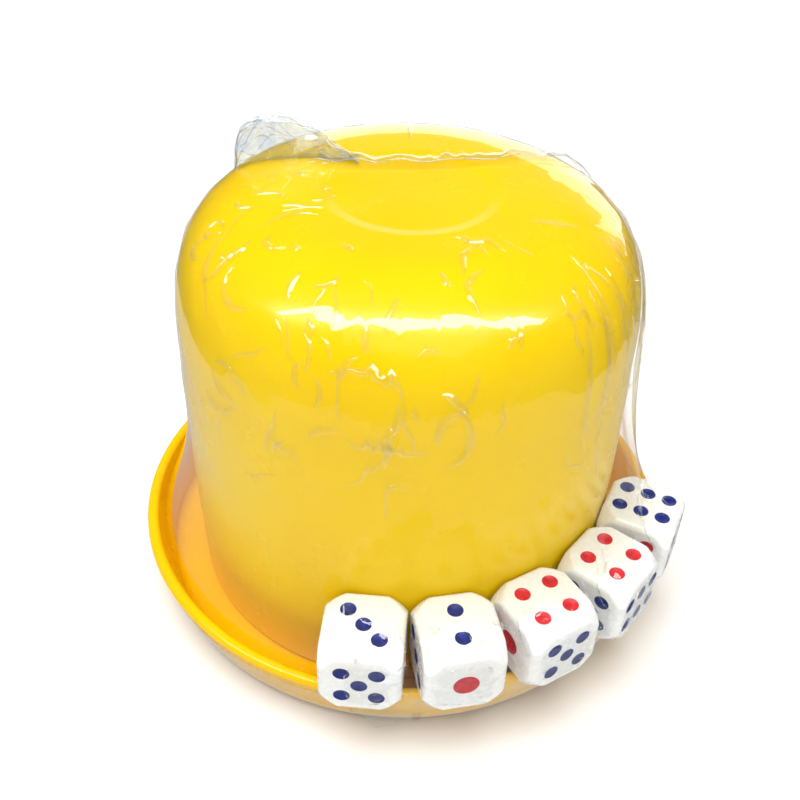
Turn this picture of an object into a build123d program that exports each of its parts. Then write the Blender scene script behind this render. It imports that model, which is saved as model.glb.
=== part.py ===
from build123d import *
from math import cos, degrees, pi, radians, sin
import os

# A dice cup standing upside down in its round tray, five dice on the tray's rim, and the
# clear shrink film that holds the set together. Millimetres, +Z up. The origin is the
# centre of the tray's foot, on the surface that it stands on.

# ---- driving dimensions ----
DIE_EDGE = 16.0
CUP_RADIUS = 47.3
CUP_HEIGHT = 89.7
TRAY_RADIUS = 60.1
TRAY_DEPTH = 12.4
FILM_THICKNESS = 0.3

# ---- clearances ----
SEAT_GAP = 0.1
BODY_GAP = 0.3
FILM_GAP = 0.25

# ---- tray ----
FOOT_RADIUS = 49.5
FOOT_HEIGHT = 1.0
TRAY_FLOOR = 2.8
TRAY_TOP = TRAY_FLOOR + TRAY_DEPTH
UNDERSIDE_RADIUS = 53.0
CORNER_RADIUS = 57.1
CORNER_TOP = 5.6
RIM_HALF = 1.3
RIM_MIDDLE = TRAY_RADIUS - RIM_HALF
FLOOR_RADIUS = 53.2
INNER_CORNER_RADIUS = 54.9
INNER_CORNER_RISE = 1.8

# ---- cup ----
CUP_WALL = 2.0
CUP_BULGE = 0.5
CUP_BASE = TRAY_FLOOR + SEAT_GAP
CUP_TOP = CUP_BASE + CUP_HEIGHT
SHOULDER_REACH = 26.6
SHOULDER_RISE = 31.8
SHOULDER_POWER = 3.1
SHOULDER_STEPS = 9
SHOULDER_START = CUP_TOP - SHOULDER_RISE
CUP_LIP_ROUND = 0.7
DISH_RADIUS = 18.0
DISH_SLOPE = 3.0
DISH_DEPTH = 0.5

# ---- dice ----
DIE_HALF = DIE_EDGE / 2
DIE_ROUND = 1.6
DIE_SPHERE = 11.4
CORNER_SOFTNESS = 1.0
BALL_TOLERANCE = 0.01
DIE_BOTTOM = TRAY_TOP + SEAT_GAP
DIE_TOP = DIE_BOTTOM + DIE_EDGE
DICE_RING = CUP_RADIUS + CUP_BULGE + BODY_GAP + DIE_HALF
PIP_RADIUS = 1.6
ONE_RADIUS = 2.55
PIP_DEPTH = 0.55
PAINT_THICKNESS = 0.2
PAINT_LIP = 0.15
CORNER_STEP = 3.3
SIX_STEP = 4.6
SIX_HALF = 2.9
RED_NUMBERS = (1, 4)

# Each side of a die: the way it faces, and the way that its pips are laid out across it.
SIDES = {
    "+Z": ((0, 0, 1), (1, 0, 0)),
    "-Z": ((0, 0, -1), (1, 0, 0)),
    "+X": ((1, 0, 0), (0, 1, 0)),
    "-X": ((-1, 0, 0), (0, -1, 0)),
    "+Y": ((0, 1, 0), (-1, 0, 0)),
    "-Y": ((0, -1, 0), (1, 0, 0)),
}

# Each die's azimuth from +X and its twist from facing straight out, in degrees, and the
# number on each of its own sides: -Y faces out of the tray and +X faces the next die.
DICE = {
    "die_1": (-96.4, 3.0, {"+Z": 3, "-Z": 4, "-Y": 5, "+Y": 2, "+X": 1, "-X": 6}),
    "die_2": (-78.0, 0.0, {"+Z": 2, "-Z": 5, "-Y": 1, "+Y": 6, "+X": 4, "-X": 3}),
    "die_3": (-59.3, 1.0, {"+Z": 4, "-Z": 3, "-Y": 5, "+Y": 2, "+X": 6, "-X": 1}),
    "die_4": (-40.4, 2.4, {"+Z": 4, "-Z": 3, "-Y": 6, "+Y": 1, "+X": 2, "-X": 5}),
    "die_5": (-21.5, -3.3, {"+Z": 6, "-Z": 1, "-Y": 5, "+Y": 2, "+X": 3, "-X": 4}),
}

# ---- film ----
FILM_LEAVES_WALL = TRAY_TOP + 10.0
TWIST_ROOM = 0.5
TENT_RISE = 13.0
TENT_SHOULDER = 0.6
SKIRT_TUCK = 8.0
HEM_RADIUS = 51.0
END_MARGIN = 11.2
CORE_RADIUS = 44.0
WELL_DEPTH = 5.0


def side_radius(height):
    """The cup's outer radius at a height below its shoulder: a very slight barrel."""
    share = (height - CUP_BASE) / (SHOULDER_START - CUP_BASE)
    return CUP_RADIUS + 4 * CUP_BULGE * share * (1 - share)


def side_curve(low, offset):
    """The cup's side from height low up to the shoulder, moved outwards by offset."""
    middle = (low + SHOULDER_START) / 2
    points = [(side_radius(z) + offset, z) for z in (low, middle, SHOULDER_START)]
    return ThreePointArc(*points)


def shoulder_curve(offset):
    """The cup's shoulder, moved outwards by offset: a quarter of a superellipse."""
    points = []
    for step in range(SHOULDER_STEPS + 1):
        angle = pi / 2 * step / SHOULDER_STEPS
        across = max(cos(angle), 0.0) ** (2 / SHOULDER_POWER)
        up = sin(angle) ** (2 / SHOULDER_POWER)
        radius = CUP_RADIUS - SHOULDER_REACH + (SHOULDER_REACH + offset) * across
        points.append((radius, SHOULDER_START + (SHOULDER_RISE + offset) * up))
    return Spline(points, tangents=[(0, 1), (-1, 0)])


def turned(outline, arc=360.0):
    """The solid that an outline of radius and height makes when it turns about Z."""
    face = make_face(Curve() + outline)
    return revolve(Plane.XZ * face, axis=Axis.Z, revolution_arc=arc)


def tray():
    """A shallow dish with a rounded rim, on a low round foot."""
    outline = [
        Polyline((0, 0), (FOOT_RADIUS, 0), (FOOT_RADIUS, FOOT_HEIGHT), (UNDERSIDE_RADIUS, FOOT_HEIGHT)),
        TangentArc((UNDERSIDE_RADIUS, FOOT_HEIGHT), (CORNER_RADIUS, CORNER_TOP), tangent=(1, 0)),
        Line((CORNER_RADIUS, CORNER_TOP), (TRAY_RADIUS, TRAY_TOP - RIM_HALF)),
        ThreePointArc(
            (TRAY_RADIUS, TRAY_TOP - RIM_HALF),
            (RIM_MIDDLE, TRAY_TOP),
            (RIM_MIDDLE - RIM_HALF, TRAY_TOP - RIM_HALF),
        ),
        Line(
            (RIM_MIDDLE - RIM_HALF, TRAY_TOP - RIM_HALF),
            (INNER_CORNER_RADIUS, TRAY_FLOOR + INNER_CORNER_RISE),
        ),
        TangentArc(
            (FLOOR_RADIUS, TRAY_FLOOR),
            (INNER_CORNER_RADIUS, TRAY_FLOOR + INNER_CORNER_RISE),
            tangent=(1, 0),
        ),
        Polyline((FLOOR_RADIUS, TRAY_FLOOR), (0, TRAY_FLOOR), (0, 0)),
    ]
    return turned(outline)


def cup():
    """An open shell with a rounded shoulder and a slightly dished end, mouth down."""
    crown = CUP_RADIUS - SHOULDER_REACH
    middle = DISH_RADIUS - DISH_SLOPE / 2
    slope = Spline(
        (DISH_RADIUS, CUP_TOP),
        (middle, CUP_TOP - DISH_DEPTH / 2),
        (DISH_RADIUS - DISH_SLOPE, CUP_TOP - DISH_DEPTH),
        tangents=[(-1, 0), (-1, 0)],
    )
    outer = [
        side_curve(CUP_BASE, 0.0),
        shoulder_curve(0.0),
        Line((crown, CUP_TOP), (DISH_RADIUS, CUP_TOP)),
        slope,
    ]
    inner = [side_curve(CUP_BASE, -CUP_WALL), shoulder_curve(-CUP_WALL)]
    ceiling = CUP_TOP - CUP_WALL
    joins = [
        Line((CUP_RADIUS, CUP_BASE), (CUP_RADIUS - CUP_WALL, CUP_BASE)),
        Line((crown, ceiling), (0, ceiling)),
        Line((0, ceiling), (0, CUP_TOP - DISH_DEPTH)),
        Line((0, CUP_TOP - DISH_DEPTH), (DISH_RADIUS - DISH_SLOPE, CUP_TOP - DISH_DEPTH)),
    ]
    shell = turned(outer + inner + joins)
    lip = shell.edges().group_by(Axis.Z)[0]
    return fillet(lip, CUP_LIP_ROUND)


# ---- dice ----
def pip_places(number):
    """The pips of one face, as places across and along that face."""
    c = CORNER_STEP
    middle = [(0, 0)]
    pair = [(-c, c), (c, -c)]
    corners = pair + [(-c, -c), (c, c)]
    sixes = [(i * SIX_STEP, j * SIX_HALF) for i in (-1, 0, 1) for j in (-1, 1)]
    twos = [(0, -c), (0, c)]
    return {1: middle, 2: twos, 3: middle + pair, 4: corners, 5: middle + corners, 6: sixes}[number]


def face_plane(side, numbers):
    """The plane of one side of a die, its Z pointing outwards; a six's rows run towards the five."""
    normal, across = SIDES[side]
    if numbers[side] == 6:
        five = next(other for other, number in numbers.items() if number == 5)
        across = SIDES[five][0]
    return Plane(Vector(normal) * DIE_HALF, x_dir=across, z_dir=normal)


def ball(plane, place, mouth, depth):
    """The ball that sinks to a depth below a face and meets it in a circle of radius mouth."""
    radius = (mouth**2 + depth**2) / (2 * depth)
    return plane * Pos(place[0], place[1], radius - depth) * Sphere(radius)


def pips(numbers):
    """Every dimple of a die, and the paint in the blue ones and in the red ones."""
    blank = die_blank()
    dimples = []
    paint = {"blue": [], "red": []}
    for side, number in numbers.items():
        mouth = ONE_RADIUS if number == 1 else PIP_RADIUS
        colour = "red" if number in RED_NUMBERS else "blue"
        plane = face_plane(side, numbers)
        for place in pip_places(number):
            dimple = ball(plane, place, mouth, PIP_DEPTH)
            hollow = ball(plane, place, mouth - PAINT_LIP, PIP_DEPTH - PAINT_THICKNESS)
            dimples.append(dimple)
            paint[colour].append((dimple & blank) - hollow)
    return dimples, paint


def die_blank():
    """A cube with rounded edges, whose corners are turned off by a ball and softened again."""
    cube = Box(DIE_EDGE, DIE_EDGE, DIE_EDGE)
    block = fillet(cube.edges(), DIE_ROUND) & Sphere(DIE_SPHERE)
    rims = [edge for edge in block.edges() if lies_on_ball(edge)]
    return fillet(rims, CORNER_SOFTNESS)


def lies_on_ball(edge):
    """Whether an edge of a die follows the ball that turns its corners off."""
    return all(abs((edge @ share).length - DIE_SPHERE) < BALL_TOLERANCE for share in (0, 0.5, 1))


def die_location(azimuth, twist):
    """Where a die stands on the rim, with its own -Y side facing out."""
    angle = radians(azimuth)
    place = Pos(DICE_RING * cos(angle), DICE_RING * sin(angle), DIE_BOTTOM + DIE_HALF)
    return place * Rot(0, 0, azimuth + 90 + twist)


def die(name):
    """One die and its two colours of paint, each as a named shape."""
    azimuth, twist, numbers = DICE[name]
    dimples, paint = pips(numbers)
    at = die_location(azimuth, twist)
    shapes = {name: at * (die_blank() - dimples)}
    for colour, fills in paint.items():
        shapes[f"{name}_{colour}_pips"] = Compound(children=[at * fill for fill in fills])
    return shapes


# ---- film ----
def free_film(offset):
    """What the film would fill around the cup and tray where there are no dice."""
    leaves = (side_radius(FILM_LEAVES_WALL) + offset, FILM_LEAVES_WALL)
    rim_top = (RIM_MIDDLE, TRAY_TOP + offset)
    rim_side = (TRAY_RADIUS + offset, TRAY_TOP - RIM_HALF)
    corner = (CORNER_RADIUS + offset, CORNER_TOP)
    underside = (UNDERSIDE_RADIUS, FOOT_HEIGHT - offset)
    outline = [
        Line((0, underside[1]), underside),
        TangentArc(underside, corner, tangent=(1, 0)),
        Line(corner, rim_side),
        TangentArc(rim_side, rim_top, tangent=(0, 1)),
        TangentArc(leaves, rim_top, tangent=(0, -1)),
        side_curve(FILM_LEAVES_WALL, offset),
        shoulder_curve(offset),
        Line((CUP_RADIUS - SHOULDER_REACH, CUP_TOP + offset), (0, CUP_TOP + offset)),
        Line((0, CUP_TOP + offset), (0, underside[1])),
    ]
    return turned(outline)


def dice_film(offset):
    """What the film would fill over the row of dice: a tent from the wall to the tray's side."""
    reach = DICE_RING + DIE_HALF + TWIST_ROOM + offset
    top = DIE_TOP + offset
    margin = END_MARGIN + degrees(offset / CUP_RADIUS)
    azimuths = [azimuth for azimuth, _, _ in DICE.values()]
    outline = Polyline(
        (CORE_RADIUS, TRAY_TOP - SKIRT_TUCK),
        (CORNER_RADIUS, TRAY_TOP - SKIRT_TUCK - offset),
        (reach, DIE_BOTTOM - offset),
        (reach, top - TENT_SHOULDER),
        (reach - TENT_SHOULDER, top),
        (side_radius(top) + offset, top + TENT_RISE),
        (CORE_RADIUS, top + TENT_RISE),
        close=True,
    )
    sector = turned([outline], max(azimuths) - min(azimuths) + 2 * margin)
    return Rot(0, 0, min(azimuths) - margin) * sector


def shrink_film():
    """One thin closed skin, open underneath inside its hem."""
    outer = free_film(FILM_GAP + FILM_THICKNESS) + dice_film(FILM_GAP + FILM_THICKNESS)
    inner = free_film(FILM_GAP) + dice_film(FILM_GAP)
    opening = Cylinder(HEM_RADIUS, WELL_DEPTH)
    return outer - inner - opening


def main():
    """Writes each named piece to its own file."""
    os.makedirs("parts", exist_ok=True)
    pieces = {"tray": tray(), "cup": cup(), "shrink_film": shrink_film()}
    for name in DICE:
        pieces.update(die(name))
    for name, shape in pieces.items():
        export_step(shape, f"parts/{name}.step")


main()
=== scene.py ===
import bpy
import math
import numpy as np
from mathutils import Matrix, Vector


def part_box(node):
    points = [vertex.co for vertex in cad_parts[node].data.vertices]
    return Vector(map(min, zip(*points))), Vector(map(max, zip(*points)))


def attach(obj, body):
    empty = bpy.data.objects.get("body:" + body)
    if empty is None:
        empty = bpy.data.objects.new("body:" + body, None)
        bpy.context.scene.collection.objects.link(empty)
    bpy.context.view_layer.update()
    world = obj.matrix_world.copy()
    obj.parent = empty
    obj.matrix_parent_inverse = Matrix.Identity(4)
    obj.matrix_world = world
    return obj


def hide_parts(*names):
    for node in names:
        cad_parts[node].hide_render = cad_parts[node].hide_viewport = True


# A yellow dice cup upside down in its tray, with five dice on the rim, under clear shrink
# film. Film lengths are in millimetres until its mesh is made; everything else is in metres.

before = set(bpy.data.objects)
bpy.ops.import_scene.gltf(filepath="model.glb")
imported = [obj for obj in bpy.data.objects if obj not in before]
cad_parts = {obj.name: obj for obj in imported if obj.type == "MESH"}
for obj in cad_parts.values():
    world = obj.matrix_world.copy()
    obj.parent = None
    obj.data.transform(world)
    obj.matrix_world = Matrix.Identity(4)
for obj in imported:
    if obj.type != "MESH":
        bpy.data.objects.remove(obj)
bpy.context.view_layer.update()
MM = 0.001
DICE = [f"die_{k}" for k in range(1, 6)]

# ---- camera ----
CAMERA_PLACE = (0.0, -0.1727, 0.179)
CAMERA_PITCH = math.radians(38.7)
CAMERA_YAW = math.radians(-0.35)
CAMERA_ROLL = math.radians(1.73)
CAMERA_LENS = 44.2


def make_camera():
    """A camera that looks down at the dice side, turned a little about its own axis."""
    data = bpy.data.cameras.new("camera")
    data.lens = CAMERA_LENS
    data.sensor_width = 36.0
    data.clip_start = 0.01
    camera = bpy.data.objects.new("camera", data)
    bpy.context.scene.collection.objects.link(camera)
    turn = Matrix.Rotation(-CAMERA_YAW, 4, "Z")
    tilt = Matrix.Rotation(math.pi / 2 - CAMERA_PITCH, 4, "X")
    roll = Matrix.Rotation(CAMERA_ROLL, 4, "Z")
    camera.matrix_world = Matrix.Translation(CAMERA_PLACE) @ turn @ tilt @ roll
    bpy.context.scene.camera = camera


# ---- node helpers ----
def new_material(name):
    """An empty node material with its output node."""
    material = bpy.data.materials.new(name)
    material.use_nodes = True
    tree = material.node_tree
    tree.nodes.clear()
    return material, tree, tree.nodes.new("ShaderNodeOutputMaterial")


def node(tree, kind, **values):
    """A shader node with its sockets set by name; underscores stand for spaces."""
    made = tree.nodes.new(kind)
    for key, value in values.items():
        made.inputs[key.replace("_", " ")].default_value = value
    return made


def object_point(tree, stretch=(1, 1, 1)):
    """Object coordinates, stretched along the axes."""
    coordinates = tree.nodes.new("ShaderNodeTexCoord")
    mapping = node(tree, "ShaderNodeMapping", Scale=stretch)
    tree.links.new(coordinates.outputs["Object"], mapping.inputs["Vector"])
    return mapping.outputs["Vector"]


def noise(tree, scale, detail=3.0, stretch=(1, 1, 1)):
    """A noise texture in object space."""
    made = node(tree, "ShaderNodeTexNoise", Scale=scale, Detail=detail)
    tree.links.new(object_point(tree, stretch), made.inputs["Vector"])
    return made.outputs["Fac"]


def spread(tree, value, low, high, start=0.3, end=0.7):
    """A value between start and end, mapped to the range from low to high."""
    made = node(tree, "ShaderNodeMapRange", From_Min=start, From_Max=end, To_Min=low, To_Max=high)
    tree.links.new(value, made.inputs["Value"])
    return made.outputs["Result"]


def blend_colours(tree, factor, first, second):
    """A mix of two colours by a factor."""
    mix = tree.nodes.new("ShaderNodeMix")
    mix.data_type = "RGBA"
    tree.links.new(factor, mix.inputs["Factor"])
    ends = [socket for socket in mix.inputs if socket.type == "RGBA"]
    for socket, colour in zip(ends, (first, second)):
        socket.default_value = (*colour, 1)
    return next(socket for socket in mix.outputs if socket.type == "RGBA")


def bump(tree, height, distance, strength=1.0, below=None):
    """A bump of a height texture, on top of another bump if one is given."""
    made = node(tree, "ShaderNodeBump", Strength=strength, Distance=distance)
    tree.links.new(height, made.inputs["Height"])
    if below is not None:
        tree.links.new(below, made.inputs["Normal"])
    return made.outputs["Normal"]


# ---- materials ----
CUP_YELLOWS = ((0.89, 0.575, 0.0), (0.91, 0.62, 0.0))
# The tray is the same plastic as the cup, but its yellows are darker: painted shade for the tray's shadowed
# channel.
TRAY_SHADED_YELLOWS = ((0.80, 0.45, 0.0), (0.86, 0.50, 0.0))
DIE_WHITE = (0.83, 0.84, 0.83)
DIE_CREAM = (0.80, 0.79, 0.74)
CLEAR = (0.985, 0.988, 0.985)
LAYERED = (0.90, 0.925, 0.945)
HAZE = (0.80, 0.82, 0.82)
FLOOR_WHITES = ((0.80, 0.80, 0.80), (0.82, 0.82, 0.82))
PAINTS = {
    "blue": ((0.003, 0.010, 0.12), (0.010, 0.026, 0.22)),
    "red": ((0.50, 0.008, 0.018), (0.66, 0.020, 0.035)),
}


def moulded_yellow(name, colours, flow_stretch):
    """Glossy injection-moulded plastic: flow shading, faint ripples and fine handling marks."""
    material, tree, output = new_material(name)
    shader = node(tree, "ShaderNodeBsdfPrincipled", IOR=1.36)
    shader.inputs["Subsurface Weight"].default_value = 0.08
    shader.inputs["Subsurface Radius"].default_value = (0.004, 0.002, 0.0005)
    shader.inputs["Subsurface Scale"].default_value = 0.5
    flow = noise(tree, scale=38.0, detail=2.0, stretch=(1, 1, flow_stretch))
    tree.links.new(
        blend_colours(tree, spread(tree, flow, 0, 1), *colours), shader.inputs["Base Color"]
    )
    marks = noise(tree, scale=90.0, detail=5.0)
    tree.links.new(spread(tree, marks, low=0.20, high=0.30), shader.inputs["Roughness"])
    ripples = bump(tree, noise(tree, scale=60.0, detail=1.0), distance=0.00008)
    fine = noise(tree, scale=2600.0, detail=2.0)
    grain = bump(tree, fine, distance=0.00001, strength=0.5, below=ripples)
    tree.links.new(grain, shader.inputs["Normal"])
    tree.links.new(shader.outputs["BSDF"], output.inputs["Surface"])
    return material


def tumbled_white():
    """Polished white urea plastic, slightly uneven in tone and gloss."""
    material, tree, output = new_material("tumbled_white")
    shader = node(tree, "ShaderNodeBsdfPrincipled", IOR=1.5)
    shader.inputs["Subsurface Weight"].default_value = 0.15
    shader.inputs["Subsurface Radius"].default_value = (0.003, 0.003, 0.003)
    shader.inputs["Subsurface Scale"].default_value = 0.4
    cloud = spread(tree, noise(tree, scale=120.0, detail=3.0), low=0, high=1)
    tree.links.new(blend_colours(tree, cloud, DIE_CREAM, DIE_WHITE), shader.inputs["Base Color"])
    gloss = spread(tree, noise(tree, scale=700.0, detail=5.0), low=0.16, high=0.36)
    tree.links.new(gloss, shader.inputs["Roughness"])
    tumbling = bump(tree, noise(tree, scale=900.0, detail=4.0), distance=0.00003)
    tree.links.new(tumbling, shader.inputs["Normal"])
    tree.links.new(shader.outputs["BSDF"], output.inputs["Surface"])
    return material


def enamel(colour):
    """Glossy paint pooled in the pips, thin and scuffed in places."""
    material, tree, output = new_material(f"{colour}_enamel")
    shader = node(tree, "ShaderNodeBsdfPrincipled", IOR=1.45)
    dark, light = PAINTS[colour]
    pools = noise(tree, scale=800.0, detail=4.0)
    pooled = spread(tree, pools, low=0, high=1, start=0.35, end=0.65)
    tree.links.new(blend_colours(tree, pooled, dark, light), shader.inputs["Base Color"])
    scuffs = spread(tree, noise(tree, scale=1500.0, detail=3.0), low=0.30, high=0.55)
    tree.links.new(scuffs, shader.inputs["Roughness"])
    uneven = bump(tree, noise(tree, scale=1100.0, detail=2.0), distance=0.00008)
    tree.links.new(uneven, shader.inputs["Normal"])
    tree.links.new(shader.outputs["BSDF"], output.inputs["Surface"])
    return material


def clear_film(name, frost, ior, tint):
    """Clear film that mirrors alike from both sides, with draw lines, and with frost on average as given."""
    material, tree, output = new_material(name)
    through = node(tree, "ShaderNodeBsdfTransparent", Color=(*tint, 1))
    mirror = node(tree, "ShaderNodeBsdfGlossy", Color=(1, 1, 1, 1))
    scuffs = spread(tree, noise(tree, scale=220.0, detail=5.0), low=0.01, high=0.045)
    tree.links.new(scuffs, mirror.inputs["Roughness"])
    soft = bump(tree, noise(tree, scale=110.0, detail=1.0), distance=0.00004)
    lines = noise(tree, scale=700.0, detail=2.0)
    drawn = bump(tree, lines, distance=0.000004, strength=0.5, below=soft)
    tree.links.new(drawn, mirror.inputs["Normal"])
    faces = tree.nodes.new("ShaderNodeNewGeometry")
    sided = node(tree, "ShaderNodeMapRange", To_Min=ior, To_Max=1 / ior)
    tree.links.new(faces.outputs["Backfacing"], sided.inputs["Value"])
    gloss = tree.nodes.new("ShaderNodeFresnel")
    tree.links.new(sided.outputs["Result"], gloss.inputs["IOR"])
    tree.links.new(drawn, gloss.inputs["Normal"])
    mix = tree.nodes.new("ShaderNodeMixShader")
    tree.links.new(gloss.outputs["Fac"], mix.inputs["Fac"])
    tree.links.new(through.outputs["BSDF"], mix.inputs[1])
    tree.links.new(mirror.outputs["BSDF"], mix.inputs[2])
    surface = mix.outputs["Shader"]
    if frost:
        hazy = node(tree, "ShaderNodeBsdfDiffuse", Color=(*HAZE, 1))
        clouding = tree.nodes.new("ShaderNodeMixShader")
        cloud = spread(tree, noise(tree, scale=600.0, detail=5.0), low=0, high=2 * frost)
        tree.links.new(cloud, clouding.inputs["Fac"])
        tree.links.new(surface, clouding.inputs[1])
        tree.links.new(hazy.outputs["BSDF"], clouding.inputs[2])
        surface = clouding.outputs["Shader"]
    tree.links.new(surface, output.inputs["Surface"])
    return material


def floor_white():
    """A matt white table top with the faintest mottling."""
    material, tree, output = new_material("floor_white")
    shader = node(tree, "ShaderNodeBsdfPrincipled", Roughness=0.9)
    shader.inputs["Specular IOR Level"].default_value = 0.2
    tone = spread(tree, noise(tree, scale=3.0, detail=2.0), low=0, high=1)
    tree.links.new(blend_colours(tree, tone, *FLOOR_WHITES), shader.inputs["Base Color"])
    tree.links.new(shader.outputs["BSDF"], output.inputs["Surface"])
    return material


def dress_cad_parts():
    """Gives every CAD piece that stays in sight its own material."""
    finishes = {
        # The tray gets a darker copy of the cup's yellow, as painted shade.
        "tray": moulded_yellow("tray_yellow_painted_shade", TRAY_SHADED_YELLOWS, flow_stretch=0.7),
        "cup": moulded_yellow("cup_yellow", CUP_YELLOWS, flow_stretch=0.4),
    }
    white = tumbled_white()
    paints = {colour: enamel(colour) for colour in PAINTS}
    for name in DICE:
        finishes[name] = white
        for colour, paint in paints.items():
            finishes[f"{name}_{colour}_pips"] = paint
    for name, material in finishes.items():
        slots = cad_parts[name].data.materials
        slots.clear()
        slots.append(material)


# ---- what the film rests on ----
SHORTEST_EDGE = 1.0
TINY = 1e-6


class Turned:
    """The convex outer shape of a lathe-turned CAD node, as half planes of radius and height."""

    def __init__(self, name):
        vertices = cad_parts[name].data.vertices
        points = np.array([v.co for v in vertices], float) / MM
        outline = convex_outline(np.hypot(points[:, 0], points[:, 1]), points[:, 2])
        edges = np.roll(outline, -1, 0) - outline
        lengths = np.linalg.norm(edges, axis=1)
        self.normals = np.stack([edges[:, 1], -edges[:, 0]], 1) / lengths[:, None]
        self.offsets = (self.normals * outline).sum(1)

    def clear(self, points, gap):
        """Moves points that are nearer than gap, or inside, straight out of the shape."""
        radius = np.maximum(np.hypot(points[..., 0], points[..., 1]), TINY)
        level = np.stack([radius, points[..., 2]], -1) @ self.normals.T - self.offsets
        nearest = level.argmax(-1)
        short = np.maximum(gap - level.max(-1), 0)
        out = self.normals[nearest] * short[..., None]
        points[..., 0] += out[..., 0] * points[..., 0] / radius
        points[..., 1] += out[..., 0] * points[..., 1] / radius
        points[..., 2] += out[..., 1]


def convex_outline(radius, height):
    """The convex hull of points in a plane, anticlockwise, without its shortest edges."""
    points = sorted(set(zip(np.round(radius, 2).tolist(), np.round(height, 2).tolist())))
    halves = []
    for run in (points, points[::-1]):
        half = []
        for p in run:
            while len(half) > 1 and turn_of(half[-2], half[-1], p) <= 0:
                half.pop()
            half.append(p)
        halves.append(half[:-1])
    hull = halves[0] + halves[1]
    kept = [hull[0]]
    for p in hull[1:]:
        if math.dist(p, kept[-1]) > SHORTEST_EDGE:
            kept.append(p)
    return np.array(kept)


def turn_of(a, b, c):
    """Positive where a to b to c turns left."""
    return (b[0] - a[0]) * (c[1] - a[1]) - (b[1] - a[1]) * (c[0] - a[0])


class Die:
    """A die's rounded block, from its CAD node: centre, facing and half edge."""

    ROUND = 1.6
    BALL = 11.4
    REACH = 1.7  # half edges from the centre within which points are looked at
    UPRIGHT = 0.05  # how far a side face's normal may lean out of level

    def __init__(self, name):
        low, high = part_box(name)
        self.centre = np.array((low + high) / 2) / MM
        self.half = (high.z - low.z) / 2 / MM
        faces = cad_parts[name].data.polygons
        angles = np.array([math.atan2(f.normal.y, f.normal.x) for f in faces])
        weights = np.array([f.area * (abs(f.normal.z) < self.UPRIGHT) for f in faces])
        fourfold = (weights * np.exp(4j * angles)).sum()
        self.yaw = float(np.angle(fourfold)) / 4

    def clear(self, points, gap):
        """Moves points that are nearer than gap, or inside, straight out of the die."""
        offset = points - self.centre
        near = np.abs(offset).max(-1) < self.REACH * self.half
        if not near.any():
            return
        c, s = math.cos(self.yaw), math.sin(self.yaw)
        turn = np.array([[c, -s, 0], [s, c, 0], [0, 0, 1]])
        local = offset[near] @ turn
        sign = np.sign(local)
        past = np.abs(local) - (self.half - self.ROUND)
        outside = np.maximum(past, 0)
        far = np.linalg.norm(outside, axis=1)
        level = far + np.minimum(past.max(1), 0) - self.ROUND
        flat = np.eye(3)[past.argmax(1)]
        normal = np.where(far[:, None] > TINY, outside / np.maximum(far, TINY)[:, None], flat)
        normal = normal * sign
        distance = np.maximum(np.linalg.norm(local, axis=1), TINY)
        on_ball = distance - self.BALL > level
        normal[on_ball] = local[on_ball] / distance[on_ball, None]
        level = np.maximum(level, distance - self.BALL)
        local += normal * np.maximum(gap - level, 0)[:, None]
        points[near] = local @ turn.T + self.centre


# ---- film ----
FILM_GAP = 0.15
FOLD_LIFT = 0.05
HEM_RADIUS = 51.5
HEM_HEIGHT = 0.55
ROWS = 240
COLUMNS = 400
LEVELS = ((4, 420), (2, 160), (1, 60))  # coarseness and steps
PULL_SHARE = 0.9
ROUND_PULL_LIMIT = 4.0
LOOSE_START = ((0, 93.5), (30, 93.0), (46, 82), (50, 50), (67, 34), (67, 13), (60, 2), (52, 0.5))


def start_grid(rows, columns):
    """A loose skin of revolution round everything, as rows of points from crown to hem."""
    outline = np.array(LOOSE_START, float)
    along = np.concatenate([[0], np.cumsum(np.linalg.norm(np.diff(outline, axis=0), axis=1))])
    places = np.linspace(0, along[-1], rows)
    radius = np.interp(places, along, outline[:, 0])
    height = np.interp(places, along, outline[:, 1])
    angle = np.arange(columns) * 2 * math.pi / columns
    x = radius[:, None] * np.cos(angle)
    y = radius[:, None] * np.sin(angle)
    return np.stack([x, y, np.repeat(height[:, None], columns, 1)], -1)


def steps_of(grid):
    """Half the way between each point's neighbours, down the rows and round the columns."""
    down = np.zeros_like(grid)
    down[1:-1] = (grid[2:] - grid[:-2]) / 2
    down[0], down[-1] = grid[1] - grid[0], grid[-1] - grid[-2]
    around = (np.roll(grid, -1, 1) - np.roll(grid, 1, 1)) / 2
    return down, around


def normals_of(grid):
    """The outward unit normal at each point."""
    down, around = steps_of(grid)
    normal = np.cross(down, around)
    normal[0] = (0, 0, 1)
    return normal / np.maximum(np.linalg.norm(normal, axis=-1, keepdims=True), 1e-9)


def shrink(grid, shapes, steps):
    """Lets the skin pull tight like a soap film, held off the shapes inside it."""
    for _ in range(steps):
        down, around = steps_of(grid)
        ratio = (down**2).sum(-1) / np.maximum((around**2).sum(-1), TINY)
        ratio = np.minimum(ratio, ROUND_PULL_LIMIT)[..., None]
        pull = np.zeros_like(grid)
        pull[1:-1] = (grid[2:] + grid[:-2]) / 2 - grid[1:-1]
        pull += ((np.roll(grid, -1, 1) + np.roll(grid, 1, 1)) / 2 - grid) * ratio
        normal = normals_of(grid)
        pull = normal * (pull * normal).sum(-1, keepdims=True) / (1 + ratio)
        pull[0] = pull[-1] = 0
        grid += PULL_SHARE * pull
        for shape in shapes:
            shape.clear(grid, FILM_GAP)
        grid[0] = (0, 0, grid[1, :, 2].mean())
        grid[-1, :, 2] = HEM_HEIGHT


def respaced(grid, rows):
    """The same skin with its rows evenly spaced along every column."""
    gaps = np.linalg.norm(np.diff(grid, axis=0), axis=-1)
    along = np.concatenate([np.zeros((1, grid.shape[1])), np.cumsum(gaps, 0)])
    made = np.empty((rows, *grid.shape[1:]))
    for column in range(grid.shape[1]):
        places = np.linspace(0, along[-1, column], rows)
        for axis in range(3):
            made[:, column, axis] = np.interp(places, along[:, column], grid[:, column, axis])
    return made


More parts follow.
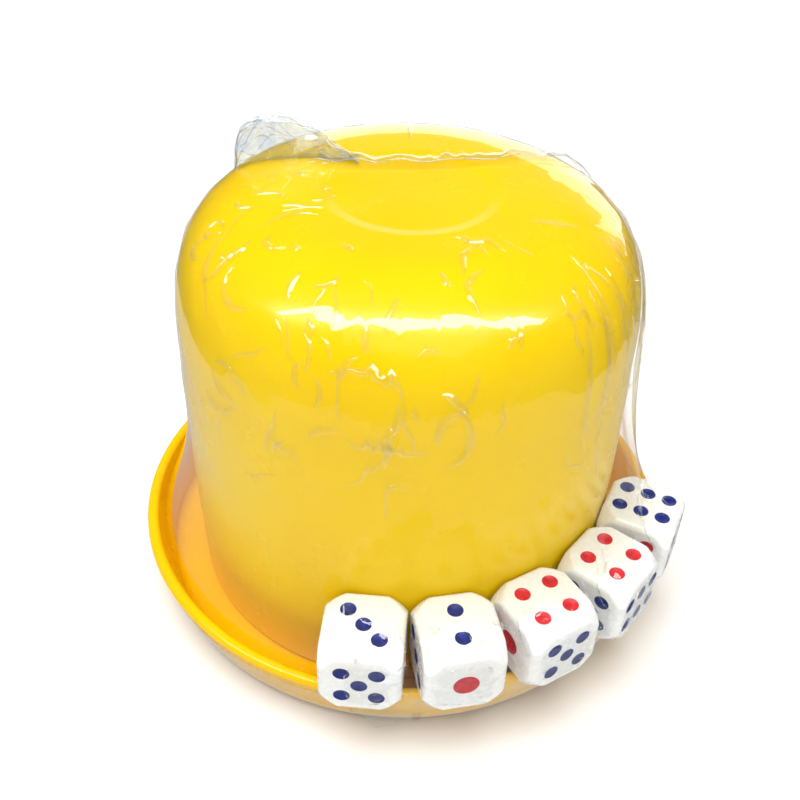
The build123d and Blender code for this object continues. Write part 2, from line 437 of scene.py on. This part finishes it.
def finer(grid, rows, columns):
    """The skin with more rows and columns."""
    wrapped = np.concatenate([grid, grid[:, :1]], 1)
    old = np.arange(wrapped.shape[1]) / grid.shape[1]
    new = np.arange(columns) / columns
    across = np.empty((grid.shape[0], columns, 3))
    for row in range(grid.shape[0]):
        for axis in range(3):
            across[row, :, axis] = np.interp(new, old, wrapped[row, :, axis])
    return respaced(across, rows)


def tight_skin():
    """The film pulled over the cup, the dice and the tray, coarse first and then finer."""
    dice = [Die(name) for name in DICE]
    shapes = [Turned("cup"), Turned("tray")] + dice
    grid = start_grid(ROWS // LEVELS[0][0], COLUMNS // LEVELS[0][0])
    for coarseness, steps in LEVELS:
        grid = finer(grid, ROWS // coarseness, COLUMNS // coarseness)
        shrink(grid, shapes, steps)
    return grid


class Skin:
    """The finished film surface, with places on it given by azimuth and length from the crown."""

    def __init__(self, grid):
        self.grid = grid
        self.normals = normals_of(grid)
        self.lengths = np.linalg.norm(np.diff(grid, axis=0), axis=-1).sum(0)

    def at(self, azimuth, length):
        """Points and outward normals at azimuths in degrees and lengths in millimetres."""
        rows, columns = self.grid.shape[:2]
        across = np.mod(np.asarray(azimuth, float), 360) / 360 * columns
        left = across.astype(int) % columns
        right, u = (left + 1) % columns, (across % 1)[..., None]
        whole = self.lengths[left] * (1 - u[..., 0]) + self.lengths[right] * u[..., 0]
        last = rows - 1.001  # just short of the last row, so that there is a row below
        down = np.clip(np.asarray(length, float) / whole * (rows - 1), 0, last)
        upper, v = down.astype(int), (down % 1)[..., None]
        found = []
        for field in (self.grid, self.normals):
            top = field[upper, left] * (1 - u) + field[upper, right] * u
            bottom = field[upper + 1, left] * (1 - u) + field[upper + 1, right] * u
            found.append(top * (1 - v) + bottom * v)
        points, normals = found
        return points, normals / np.linalg.norm(normals, axis=-1, keepdims=True)


CURVE_STEPS = 24
FEWEST_POINTS = 6


def smooth_path(places, spacing):
    """A Catmull-Rom curve through a few places, as evenly spaced points."""
    places = np.array(places, float)
    ends = np.concatenate([[2 * places[0] - places[1]], places, [2 * places[-1] - places[-2]]])
    made = []
    for a, b, c, d in zip(ends, ends[1:], ends[2:], ends[3:]):
        t = np.linspace(0, 1, CURVE_STEPS, endpoint=False)[:, None]
        square = (a - 2.5 * b + 2 * c - d / 2) * t**2
        cube = (1.5 * (b - c) + (d - a) / 2) * t**3
        made.append(b + (c - a) * t / 2 + square + cube)
    made = np.concatenate(made + [places[-1:]])
    along = np.concatenate([[0], np.cumsum(np.linalg.norm(np.diff(made, axis=0), axis=1))])
    even = np.linspace(0, along[-1], max(FEWEST_POINTS, int(along[-1] / spacing)))
    return np.stack([np.interp(even, along, made[:, k]) for k in range(made.shape[1])], 1)


# Groups of folds: how many, the azimuths in degrees and lengths from the crown in millimetres
# that they lie between, their size across, and each ridge's width and height in millimetres.
FOLD_GROUPS = {
    "left_shoulder_curls": (14, (-160, -110), (24, 44), (3, 7), 1.4, 0.5),
    "front_curls": (7, (-110, -60), (27, 42), (4, 9), 1.4, 0.5),
    "round_the_highlight": (9, (-120, -62), (44, 56), (3, 5), 1.1, 0.35),
    "front_wall": (11, (-140, -72), (56, 72), (5, 9), 1.7, 0.6),
    "near_the_ear": (8, (150, 200), (16, 36), (3, 6), 1.4, 0.5),
}
CURL_SWEEP = (0.6, 2.2)
CURL_POINTS = 5
DEGREES_PER_MM = 1.2
BUBBLE_PLACE = (-160, 39)
BUBBLE_REACH = 2.0
BUBBLE_OVAL = 1.5
BUBBLE_POINTS = 14
BUBBLE_RIDGE = (0.9, 0.3)
FAN_FOLDS = 26
FAN_AZIMUTHS = (-44, 22)
FAN_TOPS = (34, 48)
FAN_BOTTOMS = (58, 78)
FAN_POINTS = 5
FAN_SCATTER = 1.2
FAN_WANDER = 0.7
FAN_WIDTHS = (0.9, 1.9)
FAN_HEIGHTS = (0.2, 0.5)
FINE_FOLDS = 90
FINE_LENGTHS = (28, 84)
FINE_SLOPE = 3.5
FINE_REACHES = (2, 6)
FINE_PLACES = (-1, -0.3, 0.4, 1)
FINE_WANDER = 0.6
FINE_WIDTHS = (0.6, 1.1)
FINE_HEIGHTS = (0.12, 0.28)
FOLD_POINTS = 7
ROUTE_SPACING = 0.45
KEY_SPACING = 0.2
TAPER_ENDS = (0.002, 0.998)
TAPER_POWER = 0.6
RIDGE_POWER = 1.5


def fold(skin, places, width, height):
    """One raised fold in the film: a tapering ridge along a path of azimuths and lengths."""
    route = smooth_path([skin.at(*place)[0] for place in places], ROUTE_SPACING)
    azimuth = np.degrees(np.arctan2(route[:, 1], route[:, 0]))
    keys = smooth_path(places, KEY_SPACING)
    share = np.linspace(0, 1, len(route))
    length = np.interp(share, np.linspace(0, 1, len(keys)), keys[:, 1])
    points, normals = skin.at(azimuth, length)
    along = np.gradient(points, axis=0)
    side = np.cross(normals, along)
    side /= np.maximum(np.linalg.norm(side, axis=1, keepdims=True), 1e-9)
    taper = np.sin(math.pi * np.clip(share, *TAPER_ENDS)) ** TAPER_POWER
    across = np.linspace(-1, 1, FOLD_POINTS)
    rise = np.cos(across * math.pi / 2) ** RIDGE_POWER
    out = side[:, None] * (across[:, None] * width / 2) * taper[:, None, None]
    up = normals[:, None] * (FOLD_LIFT + rise[:, None] * height * taper[:, None, None])
    return points[:, None] + out + up


def curl(chance, azimuths, lengths, sizes):
    """A path along an arc of random place, size and direction."""
    azimuth, length = chance.uniform(*azimuths), chance.uniform(*lengths)
    radius = chance.uniform(*sizes)
    start, sweep = chance.uniform(0, 2 * math.pi), chance.uniform(*CURL_SWEEP)
    turns = start + np.linspace(0, sweep, CURL_POINTS)
    return [
        (azimuth + DEGREES_PER_MM * radius * math.cos(turn), length + radius * math.sin(turn))
        for turn in turns
    ]


def bubble(skin):
    """The raised rim of a bubble that was caught under the film."""
    azimuth, length = BUBBLE_PLACE
    turns = np.linspace(0, 2 * math.pi, BUBBLE_POINTS)
    wide, reach = BUBBLE_REACH * BUBBLE_OVAL, BUBBLE_REACH
    ring = [(azimuth + wide * math.cos(a), length + reach * math.sin(a)) for a in turns]
    return fold(skin, ring, *BUBBLE_RIDGE)


def fan_pleat(skin, chance, azimuth):
    """One long pleat that runs down the side near an azimuth."""
    turn = azimuth + chance.normal(0, FAN_SCATTER)
    top, bottom = chance.uniform(*FAN_TOPS), chance.uniform(*FAN_BOTTOMS)
    lengths = np.linspace(top, bottom, FAN_POINTS)
    path = [(turn + chance.normal(0, FAN_WANDER), length) for length in lengths]
    return fold(skin, path, chance.uniform(*FAN_WIDTHS), chance.uniform(*FAN_HEIGHTS))


def fine_fold(skin, chance):
    """One short fine fold, anywhere on the side."""
    turn, middle = chance.uniform(0, 360), chance.uniform(*FINE_LENGTHS)
    slope, reach = chance.normal(0, FINE_SLOPE), chance.uniform(*FINE_REACHES)
    path = [
        (turn + slope * k + chance.normal(0, FINE_WANDER), middle + reach * k) for k in FINE_PLACES
    ]
    return fold(skin, path, chance.uniform(*FINE_WIDTHS), chance.uniform(*FINE_HEIGHTS))


def all_folds(skin, chance):
    """Every fold: curls in a few groups, a bubble, a fan of pleats on one side, and fine ones."""
    folds = []
    for count, azimuths, lengths, sizes, width, height in FOLD_GROUPS.values():
        for _ in range(count):
            folds.append(fold(skin, curl(chance, azimuths, lengths, sizes), width, height))
    folds.append(bubble(skin))
    folds += [fan_pleat(skin, chance, start) for start in np.linspace(*FAN_AZIMUTHS, FAN_FOLDS)]
    folds += [fine_fold(skin, chance) for _ in range(FINE_FOLDS)]
    return folds


SEAM_ENDS = (-19.0, 42.0)
SEAM_FRONT = 9.0
SEAM_SWING = 15.0
SEAM_BOW = 2.6
SEAM_WIDTH = 4.3
SEAM_ROWS = 12
SEAM_COLUMNS = 260
SEAM_LIFT = 1.3
SEAM_ARCH = 2.2
SEAM_UNEVEN = 0.35
SEAM_WANDER = 0.3
SEAM_FLUTTER = 0.22
SEAM_CRINKLE_WAVES = (34, 4)  # their pace along the seam and how many are summed, as below
SEAM_FLUTTER_WAVES = (90, 5)
WELD_ROW = 4
WELD_THICKNESS = 0.1


def seam_fin(skin, chance):
    """The heat-sealed seam across the top: a crinkled strip folded to the front, its edge and weld."""
    share = np.linspace(0, 1, SEAM_COLUMNS)
    x = SEAM_ENDS[0] + (SEAM_ENDS[1] - SEAM_ENDS[0]) * share
    lower = np.stack([x, SEAM_FRONT + SEAM_SWING * share**SEAM_BOW], 1)
    upper = lower + (0, SEAM_WIDTH)
    crinkle = waves(share, SEAM_CRINKLE_WAVES, chance)
    flutter = waves(share, SEAM_FLUTTER_WAVES, chance)
    lower[:, 1] += SEAM_WANDER * crinkle
    rows = []
    for step in range(SEAM_ROWS):
        across = step / (SEAM_ROWS - 1)
        points, normals = skin.at(*polar(skin, upper * (1 - across) + lower * across))
        lift = FOLD_LIFT + SEAM_LIFT * math.sin(across * SEAM_ARCH) * (1 + SEAM_UNEVEN * crinkle)
        lift += SEAM_FLUTTER * math.sin(across * math.pi) * flutter
        rows.append(points + normals * np.maximum(lift, FOLD_LIFT)[:, None])
    grid = np.array(rows)
    edge = outline_bead(grid[-1], EDGE_THICKNESS, chance)
    weld = outline_bead(grid[WELD_ROW], WELD_THICKNESS, chance)
    return [grid, edge, weld]


WAVE_PACES = (0.4, 1.6)


def waves(share, kind, chance):
    """A sum of sine waves of random length and phase along a share; kind is their pace and number."""
    pace, count = kind
    places = share * pace
    total = np.zeros_like(places)
    for _ in range(count):
        total += np.sin(places * chance.uniform(*WAVE_PACES) + chance.uniform(0, 2 * math.pi))
    return total / math.sqrt(count)


def polar(skin, place):
    """Azimuths and lengths from the crown for places seen from above on the skin's upper part."""
    azimuth = np.degrees(np.arctan2(place[:, 1], place[:, 0]))
    radius = np.hypot(place[:, 0], place[:, 1])
    columns = (np.mod(azimuth, 360) / 360 * skin.grid.shape[1]).astype(int) % skin.grid.shape[1]
    profile = np.hypot(skin.grid[..., 0], skin.grid[..., 1])
    upper = skin.grid.shape[0] // 2
    steps = np.linspace(0, 1, skin.grid.shape[0])
    length = [
        np.interp(r, np.maximum.accumulate(profile[:upper, c]), steps[:upper]) * skin.lengths[c]
        for r, c in zip(radius, columns)
    ]
    return azimuth, np.array(length)


EAR_ENDS = (-36.0, -11.0)
EAR_HEIGHT = 9.3
EAR_PEAK = 0.25
EAR_RISE = 0.35
EAR_PLACE = 12.0
EAR_LEAVES = 3
EAR_ROWS = 34
EAR_COLUMNS = 90
EAR_SPREAD = 1.1
EAR_RAGGED = 0.45
EAR_RAGGED_WAVES = (22, 4)
EAR_CREASES = (3.0, 4.6, 7.0)
EAR_CREASE_DEPTH = 0.45
EAR_CREASE_POWER = 0.7
EAR_LINE_ROWS = (12, 23)
EAR_LINE_DRIFT = 7
EAR_LINE_WAVES = (9, 3)
EAR_LINE_ROUNDS = 4
EDGE_THICKNESS = 0.16
BEAD_SIDES = 8
BEAD_UNEVEN = 0.3
BEAD_WAVES = (40, 3)
BEAD_ACROSS = (0.1, 0.9, 0.2)


def ear_leaf(skin, leaf, chance):
    """One crumpled leaf of the dog-ear that stands up where the seam ends."""
    share = np.linspace(0, 1, EAR_COLUMNS)
    x = EAR_ENDS[0] + (EAR_ENDS[1] - EAR_ENDS[0]) * share
    ground = skin.at(*polar(skin, np.stack([x, np.full_like(x, EAR_PLACE)], 1)))[0][:, 2]
    foot = np.stack([x, ground], 1)
    fall = EAR_RISE * (1 - EAR_PEAK) / EAR_PEAK
    outline = (share / EAR_PEAK) ** EAR_RISE * ((1 - share) / (1 - EAR_PEAK)) ** fall
    edge = foot + np.stack([np.zeros_like(x), EAR_HEIGHT * outline], 1)
    ragged = EAR_RAGGED * waves(share, EAR_RAGGED_WAVES, chance)
    bends = [(chance.uniform(0, math.pi), chance.uniform(0, 2), spacing) for spacing in EAR_CREASES]
    rows = []
    for step in range(EAR_ROWS):
        up = step / (EAR_ROWS - 1)
        x, z = (foot * (1 - up) + edge * up).T
        z = z + ragged * up**3
        depth = EAR_PLACE + (leaf - 1) * EAR_SPREAD * up
        for turn, phase, spacing in bends:
            across = (x * math.cos(turn) + z * math.sin(turn)) / spacing + phase
            zigzag = np.abs(np.mod(across, 2) - 1) - 0.5
            depth = depth + zigzag * EAR_CREASE_DEPTH * spacing * up**EAR_CREASE_POWER
        rows.append(np.stack([x, depth, z], 1))
    return np.array(rows)


def outline_bead(points, width, chance):
    """A thin rolled edge along a line of points, uneven in thickness."""
    turns = np.linspace(0, 2 * math.pi, BEAD_SIDES + 1)[:-1]
    thick = width * (1 + BEAD_UNEVEN * waves(np.linspace(0, 1, len(points)), BEAD_WAVES, chance))
    ring = np.stack([np.zeros_like(turns), np.cos(turns), np.sin(turns)], 1)
    tangent = np.gradient(points, axis=0)
    tangent /= np.maximum(np.linalg.norm(tangent, axis=1, keepdims=True), 1e-9)
    side = np.cross(tangent, BEAD_ACROSS)
    side /= np.maximum(np.linalg.norm(side, axis=1, keepdims=True), 1e-9)
    up = np.cross(side, tangent)
    rows = [points + thick[:, None] * (side * r[1] + up * r[2]) for r in np.vstack([ring, ring[:1]])]
    return np.array(rows)


def make_ear(skin, chance):
    """The leaves of the ear, each with its rolled edge and two crease lines across it."""
    grids = []
    for leaf in range(EAR_LEAVES):
        grid = ear_leaf(skin, leaf, chance)
        grids += [grid, outline_bead(grid[-1], EDGE_THICKNESS, chance)]
        for row in EAR_LINE_ROWS:
            drift = EAR_LINE_DRIFT * waves(np.linspace(0, 1, EAR_COLUMNS), EAR_LINE_WAVES, chance)
            crossed = np.clip((row + drift).astype(int), 1, EAR_ROWS - 2)
            line = smoothed(grid[crossed, np.arange(EAR_COLUMNS)], EAR_LINE_ROUNDS)
            grids.append(outline_bead(line, EDGE_THICKNESS / 2, chance))
    return grids


def smoothed(points, rounds):
    """A line of points with its steps smoothed out."""
    for _ in range(rounds):
        points[1:-1] = (points[:-2] + 2 * points[1:-1] + points[2:]) / 4
    return points


FLAP_AZIMUTHS = (-99, -84)
FLAP_RADIUS = 58.2
FLAP_FLARE = 1.0
FLAP_TOP = 7.0
FLAP_DROP = 2.6
FLAP_LOWEST = 0.4
FLAP_ROWS = 14
FLAP_COLUMNS = 90
FLAP_RAGGED = 0.35
FLAP_RAGGED_WAVES = (18, 4)
FLAP_CRINKLE = 0.4
FLAP_CRINKLE_WAVES = (22, 4)


def hem_flap(chance):
    """A ragged end of film that hangs from the tray's corner below the first dice."""
    share = np.linspace(0, 1, FLAP_COLUMNS)
    azimuth = np.radians(FLAP_AZIMUTHS[0] + (FLAP_AZIMUTHS[1] - FLAP_AZIMUTHS[0]) * share)
    ragged = 1 + FLAP_RAGGED * waves(share, FLAP_RAGGED_WAVES, chance)
    ragged = ragged * np.sin(math.pi * share) ** 0.5
    crinkle = waves(share, FLAP_CRINKLE_WAVES, chance)
    rows = []
    for step in range(FLAP_ROWS):
        down = step / (FLAP_ROWS - 1)
        radius = FLAP_RADIUS + FLAP_FLARE * down * ragged + FLAP_CRINKLE * crinkle * down
        height = np.maximum(FLAP_TOP - FLAP_DROP * down * ragged, FLAP_LOWEST)
        rows.append(np.stack([radius * np.cos(azimuth), radius * np.sin(azimuth), height], 1))
    return np.array(rows)


def grids_object(name, grids, material, closed=False):
    """One object from grids of points in millimetres, as smooth quads."""
    points, faces = [], []
    for grid in grids:
        rows, columns = grid.shape[:2]
        first = len(points)
        points += (grid.reshape(-1, 3) * MM).tolist()
        for i in range(rows - 1):
            upper, lower = first + i * columns, first + (i + 1) * columns
            for j in range(columns if closed else columns - 1):
                k = (j + 1) % columns
                faces.append([upper + j, lower + j, lower + k, upper + k])
    mesh = bpy.data.meshes.new(name)
    mesh.from_pydata(points, [], faces)
    mesh.shade_smooth()
    piece = bpy.data.objects.new(name, mesh)
    piece.data.materials.append(material)
    bpy.context.scene.collection.objects.link(piece)
    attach(piece, "film")
    return piece


SEED = 7
STAND_OFF = 1.8
STAND_OFF_AZIMUTHS = (-36, 34)
STAND_OFF_LENGTHS = (42, 112)
PLEATS_PER_TURN = 26
PLEAT_SLANT = 0.05
PLEAT_MEAN = 0.55
PLEAT_SWING = 0.45
RIPPLES = 14
RIPPLE_TURNS = (8, 34)
RIPPLE_PACES = (0.2, 0.75)
RIPPLE_PHASE = 6
RIPPLE_HEIGHT = 0.03
RIPPLE_RAISE = 3
RIPPLE_LENGTHS = (26, 92)
RIPPLE_FADE = 20


def bell(values, low, high):
    """A smooth hump from nothing at low to one halfway and nothing again at high."""
    share = np.clip((values - low) / (high - low), 0, 1)
    return np.sin(math.pi * share) ** 2


def slack(grid, chance):
    """Lets the film stand off the wall in pleats on one side, and ripple slightly over the cup."""
    skin = Skin(grid)
    rows, columns = grid.shape[:2]
    azimuth = np.arange(columns) / columns * 360
    azimuth = np.where(azimuth > 180, azimuth - 360, azimuth)[None, :]
    length = np.linspace(0, 1, rows)[:, None] * skin.lengths[None, :]
    pleats = np.sin(np.radians(azimuth * PLEATS_PER_TURN) + PLEAT_SLANT * length)
    pleats = PLEAT_MEAN + PLEAT_SWING * pleats
    lift = STAND_OFF * bell(azimuth, *STAND_OFF_AZIMUTHS) * bell(length, *STAND_OFF_LENGTHS) * pleats
    ripple = np.zeros_like(lift)
    for _ in range(RIPPLES):
        turns = round(chance.uniform(*RIPPLE_TURNS))
        pace = chance.uniform(*RIPPLE_PACES) * chance.choice([-1, 1])
        phase = chance.uniform(0, RIPPLE_PHASE)
        ripple += np.sin(np.radians(azimuth * turns) + length * pace + phase)
    first, last = RIPPLE_LENGTHS
    on_cup = np.clip((last - length) / RIPPLE_FADE, 0, 1)
    on_cup = on_cup * np.clip((length - first) / RIPPLE_FADE, 0, 1)
    lift += RIPPLE_HEIGHT * (ripple + RIPPLE_RAISE) * on_cup
    return grid + skin.normals * np.maximum(lift, 0)[..., None]


def make_film():
    """The film over the whole set, its folds, its sealed seam and its loose ends."""
    chance = np.random.default_rng(SEED)
    clear = clear_film("clear_film", frost=0.0, ior=1.46, tint=CLEAR)
    creased = clear_film("creased_film", frost=0.03, ior=1.6, tint=CLEAR)
    sealed = clear_film("sealed_film", frost=0.05, ior=1.9, tint=LAYERED)
    grid = slack(tight_skin(), chance)
    skin = Skin(grid)
    film = grids_object("film_skin", [grid], clear, closed=True)
    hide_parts("shrink_film")
    folds = grids_object("film_folds", all_folds(skin, chance), creased)
    seam = grids_object("film_seam", seam_fin(skin, chance), sealed)
    ear = grids_object("film_ear", make_ear(skin, chance), sealed)
    flap = grids_object("film_flap", [hem_flap(chance)], sealed)
    return film, [folds, seam, ear, flap]


# ---- studio ----
def plane(name, corners, material):
    """A flat card with four corners."""
    mesh = bpy.data.meshes.new(name)
    mesh.from_pydata(corners, [], [(0, 1, 2, 3)])
    card = bpy.data.objects.new(name, mesh)
    card.data.materials.append(material)
    bpy.context.scene.collection.objects.link(card)
    return card


def glow(name, colour, strength):
    """An even glow, for a card that only gloss mirrors."""
    material, tree, output = new_material(name)
    light = node(tree, "ShaderNodeEmission", Color=(*colour, 1), Strength=strength)
    tree.links.new(light.outputs["Emission"], output.inputs["Surface"])
    return material


def mirrored_only(card):
    """Shows a card in reflections alone, as a studio flag or bounce card outside the view."""
    card.visible_camera = False
    card.visible_diffuse = False
    card.visible_transmission = False
    card.visible_shadow = False
    card.visible_volume_scatter = False


FLOOR_REACH = 12.0
SHEET_LEFT = -0.155
SHEET_RIGHT = 0.165
SHEET_FRONT = -0.19
SHEET_DROP = 0.0005
SHEET_GLOW = 0.55
STRIP_CARD = (-1.3, -0.50, 1.3, -0.26)
STRIP_GLOW = 15.0
DIM_CARD = (-0.55, -1.5, 0.75, -0.62)
DIM_COLOUR = (1, 0.98, 0.92)
DIM_GLOW = 0.55
OVERHEAD = 1.0
BACK_CARD = ((-0.16, 0.7, 0), (0.7, 0.7, 0), (0.7, 0.7, 0.36), (-0.16, 0.7, 0.33))
BACK_GLOW = 1.8
KEY_FROM = (-0.15, -0.12, 1.05)
KEY_POWER = 3.4
KEY_SPREAD = 50
FILL_FROM = (0.4, -0.9, 0.8)
FILL_POWER = 0.45
FILL_SPREAD = 60
SKY_COLOUR = (0.96, 0.98, 1)
SKY_LIGHT = 0.46
SKY_MIRRORED = 0.05
SKY_SEEN = 0.98


def floor_card(name, x0, y0, x1, y1, height, material):
    """A level card between two corners."""
    corners = [(x0, y0, height), (x1, y0, height), (x1, y1, height), (x0, y1, height)]
    return plane(name, corners, material)


def make_floor():
    """The white table, and what gloss mirrors in its place: a white sheet in a dark room."""
    reach = FLOOR_REACH
    floor = floor_card("floor", -reach, -reach, reach, reach, 0, floor_white())
    floor.visible_glossy = False
    sheet = glow("sheet_glow", (1, 1, 1), SHEET_GLOW)
    mirrored_only(
        floor_card("mirrored_sheet", SHEET_LEFT, SHEET_FRONT, SHEET_RIGHT, reach, -SHEET_DROP, sheet)
    )


def make_lights():
    """A long overhead softbox, a white card behind, a dim card in front, two soft suns and a sky."""
    strip = glow("strip_glow", (1, 1, 1), STRIP_GLOW)
    mirrored_only(floor_card("strip_card", *STRIP_CARD, OVERHEAD, strip))
    back = glow("back_glow", (1, 1, 1), BACK_GLOW)
    mirrored_only(plane("back_card", BACK_CARD, back))
    dim = glow("dim_glow", DIM_COLOUR, DIM_GLOW)
    mirrored_only(floor_card("dim_card", *DIM_CARD, OVERHEAD, dim))
    add_sun("key", KEY_FROM, KEY_POWER, KEY_SPREAD)
    add_sun("fill", FILL_FROM, FILL_POWER, FILL_SPREAD)
    make_sky()


def make_sky():
    """An even sky: white behind the floor, softer as a light, and dark where gloss mirrors it."""
    world = bpy.data.worlds.new("sky")
    world.use_nodes = True
    bpy.context.scene.world = world
    tree = world.node_tree
    tree.nodes.clear()
    output = tree.nodes.new("ShaderNodeOutputWorld")
    paths = tree.nodes.new("ShaderNodeLightPath")
    surface = node(tree, "ShaderNodeBackground", Color=(*SKY_COLOUR, 1), Strength=SKY_LIGHT)
    for ray, strength in (("Is Glossy Ray", SKY_MIRRORED), ("Is Camera Ray", SKY_SEEN)):
        other = node(tree, "ShaderNodeBackground", Color=(1, 1, 1, 1), Strength=strength)
        mix = tree.nodes.new("ShaderNodeMixShader")
        tree.links.new(paths.outputs[ray], mix.inputs["Fac"])
        tree.links.new(surface.outputs[0], mix.inputs[1])
        tree.links.new(other.outputs[0], mix.inputs[2])
        surface = mix
    tree.links.new(surface.outputs[0], output.inputs["Surface"])


def add_sun(name, direction, power, spread_degrees):
    """A very soft sun that shines from a direction towards the origin, unseen by gloss."""
    data = bpy.data.lights.new(name, "SUN")
    data.energy = power
    data.angle = math.radians(spread_degrees)
    light = bpy.data.objects.new(name, data)
    light.rotation_euler = (-Vector(direction)).to_track_quat("-Z", "Y").to_euler()
    light.visible_glossy = False
    bpy.context.scene.collection.objects.link(light)


bpy.context.scene.view_settings.view_transform = "Standard"
make_camera()
dress_cad_parts()
film, film_parts = make_film()
make_floor()
make_lights()
